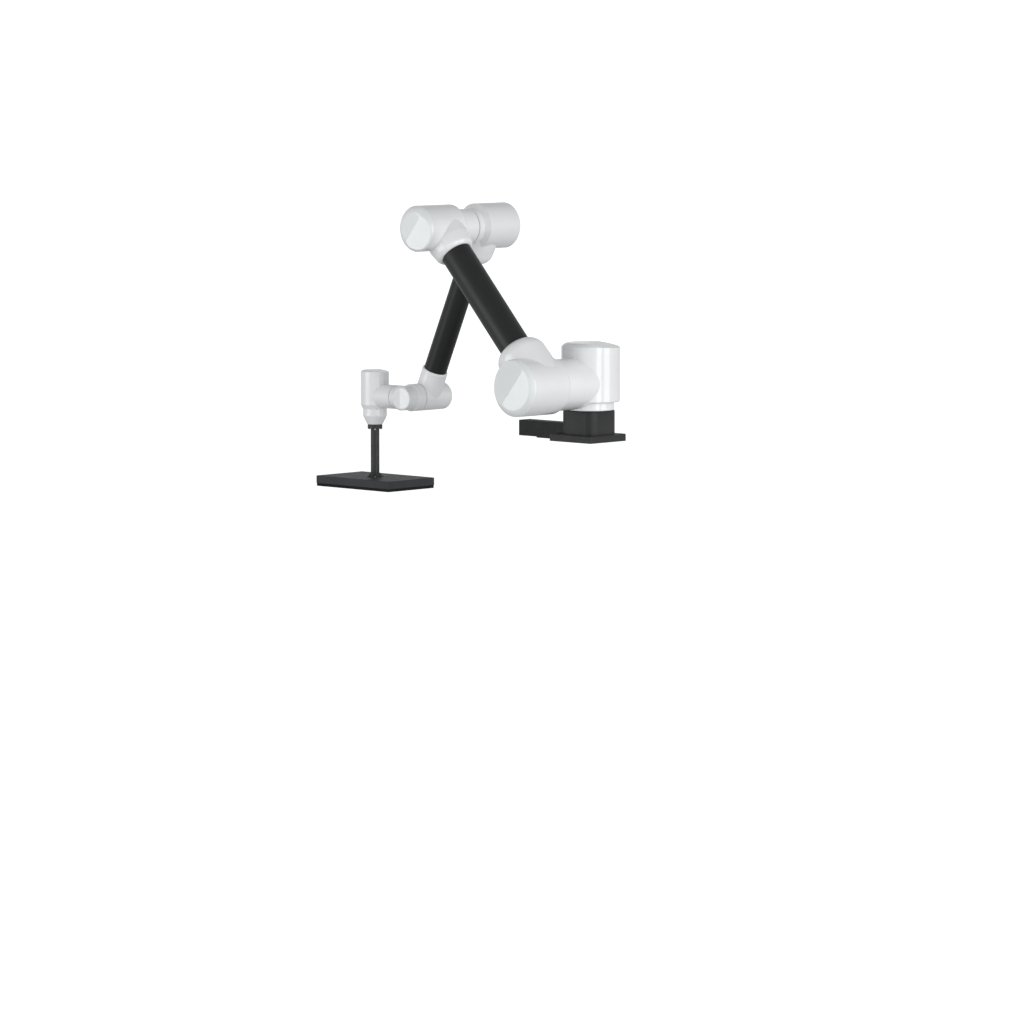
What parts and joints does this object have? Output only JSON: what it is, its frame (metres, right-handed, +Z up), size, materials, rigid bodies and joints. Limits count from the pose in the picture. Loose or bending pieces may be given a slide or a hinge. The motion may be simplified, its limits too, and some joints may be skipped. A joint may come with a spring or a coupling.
{
  "type": "collaborative robot arm",
  "caption": "Collaborative robot arm on a square base, folded over towards one side, with a flat rectangular vacuum pad on a post held level below its wrist.",
  "frame": {"origin": "where the first joint's vertical axis meets the underside of the base plate, which is the centre of its four bolt holes", "axes": "+Z up along the first joint's axis; the arm reaches towards -X; the shoulder, upper arm and wrist stand off towards -Y"},
  "size_m": [1.24, 0.526, 1.0637],
  "materials": {
    "white_casting": "painted satin",
    "white_cap": "satin",
    "black_casting": "painted satin",
    "tube_black": "anodised satin",
    "duct_plastic": "matt",
    "seal_rubber": "matt",
    "tool_black": "anodised satin",
    "pad_foam": "matt",
    "screw_steel": "satin",
    "gear_steel": "ground",
    "rotor_steel": "ground",
    "stator_iron": "varnished"
  },
  "bodies": {
    "base": {"base_plate": "black_casting", "base_casting": "black_casting", "cable_duct": "duct_plastic", "cable_duct_lid": "duct_plastic", "cable_duct_foot": "duct_plastic", "j1_seal": "seal_rubber", "j1_gear_output": "gear_steel"},
    "shoulder": {"shoulder_housing": "white_casting", "shoulder_cap": "white_cap", "j2_seal": "seal_rubber", "j2_gear_output": "gear_steel", "j1_gear_ring": "gear_steel", "j1_motor_stator": "stator_iron"},
    "upper_arm": {"upper_arm_lower_housing": "white_casting", "upper_arm_lower_cap": "white_cap", "upper_arm_tube": "tube_black", "elbow_housing": "white_casting", "elbow_cap": "white_cap", "j3_seal": "seal_rubber", "j3_gear_output": "gear_steel", "j2_gear_ring": "gear_steel", "j2_motor_stator": "stator_iron"},
    "forearm": {"forearm_upper_housing": "white_casting", "forearm_upper_cap": "white_cap", "forearm_tube": "tube_black", "forearm_wrist_housing": "white_casting", "forearm_wrist_cap": "white_cap", "j3_gear_ring": "gear_steel", "j3_motor_stator": "stator_iron", "j4_gear_ring": "gear_steel", "j4_motor_stator": "stator_iron"},
    "wrist_1": {"wrist_1_housing": "white_casting", "wrist_1_cap": "white_cap", "j4_seal": "seal_rubber", "j4_gear_output": "gear_steel", "j5_seal": "seal_rubber", "j5_gear_output": "gear_steel"},
    "wrist_2": {"wrist_2_housing": "white_casting", "wrist_2_cap": "white_cap", "j5_gear_ring": "gear_steel", "j5_motor_stator": "stator_iron", "j6_gear_ring": "gear_steel", "j6_motor_stator": "stator_iron"},
    "tool": {"tool_flange": "tool_black", "gripper_post": "tool_black", "gripper_collar": "tool_black", "gripper_plate": "tool_black", "gripper_foam": "pad_foam", "gripper_screws": "screw_steel", "j6_seal": "seal_rubber", "j6_gear_output": "gear_steel"},
    "j1_rotor": {"j1_motor_rotor": "rotor_steel"},
    "j2_rotor": {"j2_motor_rotor": "rotor_steel"},
    "j3_rotor": {"j3_motor_rotor": "rotor_steel"},
    "j4_rotor": {"j4_motor_rotor": "rotor_steel"},
    "j5_rotor": {"j5_motor_rotor": "rotor_steel"},
    "j6_rotor": {"j6_motor_rotor": "rotor_steel"}
  },
  "joints": [
    {"name": "base_turn", "type": "hinge", "parent": "base", "child": "shoulder", "pos_m": [0, 0, 0.113], "axis": [0, 0, 1], "range_deg": [-360, 360]},
    {"name": "shoulder_swing", "type": "hinge", "parent": "shoulder", "child": "upper_arm", "pos_m": [0, -0.211, 0.212], "axis": [0, 1, 0], "range_deg": [-130, 195]},
    {"name": "elbow_bend", "type": "hinge", "parent": "upper_arm", "child": "forearm", "pos_m": [-0.48429, -0.138, 0.76423], "axis": [0, 1, 0], "range_deg": [-30, 255]},
    {"name": "wrist_1_tilt", "type": "hinge", "parent": "forearm", "child": "wrist_1", "pos_m": [-0.76901, -0.11, 0.12474], "axis": [0, -1, 0], "range_deg": [-140, 140]},
    {"name": "wrist_2_roll", "type": "hinge", "parent": "wrist_1", "child": "wrist_2", "pos_m": [-0.82901, -0.1595, 0.12474], "axis": [1, 0, 0], "range_deg": [-360, 360]},
    {"name": "wrist_3_turn", "type": "hinge", "parent": "wrist_2", "child": "tool", "pos_m": [-0.94301, -0.1595, 0.018], "axis": [0, 0, 1], "range_deg": [-360, 360]},
    {"name": "j1_rotor_spin", "type": "hinge", "parent": "shoulder", "child": "j1_rotor", "pos_m": [0, 0, 0.113], "axis": [0, 0, 1], "continuous": true},
    {"name": "j2_rotor_spin", "type": "hinge", "parent": "upper_arm", "child": "j2_rotor", "pos_m": [0, -0.211, 0.212], "axis": [0, 1, 0], "continuous": true},
    {"name": "j3_rotor_spin", "type": "hinge", "parent": "forearm", "child": "j3_rotor", "pos_m": [-0.48429, -0.138, 0.76423], "axis": [0, 1, 0], "continuous": true},
    {"name": "j4_rotor_spin", "type": "hinge", "parent": "forearm", "child": "j4_rotor", "pos_m": [-0.76901, -0.11, 0.12474], "axis": [0, -1, 0], "continuous": true},
    {"name": "j5_rotor_spin", "type": "hinge", "parent": "wrist_2", "child": "j5_rotor", "pos_m": [-0.82901, -0.1595, 0.12474], "axis": [1, 0, 0], "continuous": true},
    {"name": "j6_rotor_spin", "type": "hinge", "parent": "wrist_2", "child": "j6_rotor", "pos_m": [-0.94301, -0.1595, 0.018], "axis": [0, 0, 1], "continuous": true}
  ],
  "couplings": [
    {"joint": "j1_rotor_spin", "follows": "base_turn", "ratio": 100},
    {"joint": "j2_rotor_spin", "follows": "shoulder_swing", "ratio": 100},
    {"joint": "j3_rotor_spin", "follows": "elbow_bend", "ratio": 100},
    {"joint": "j4_rotor_spin", "follows": "wrist_1_tilt", "ratio": -100},
    {"joint": "j5_rotor_spin", "follows": "wrist_2_roll", "ratio": 100},
    {"joint": "j6_rotor_spin", "follows": "wrist_3_turn", "ratio": -100}
  ]
}
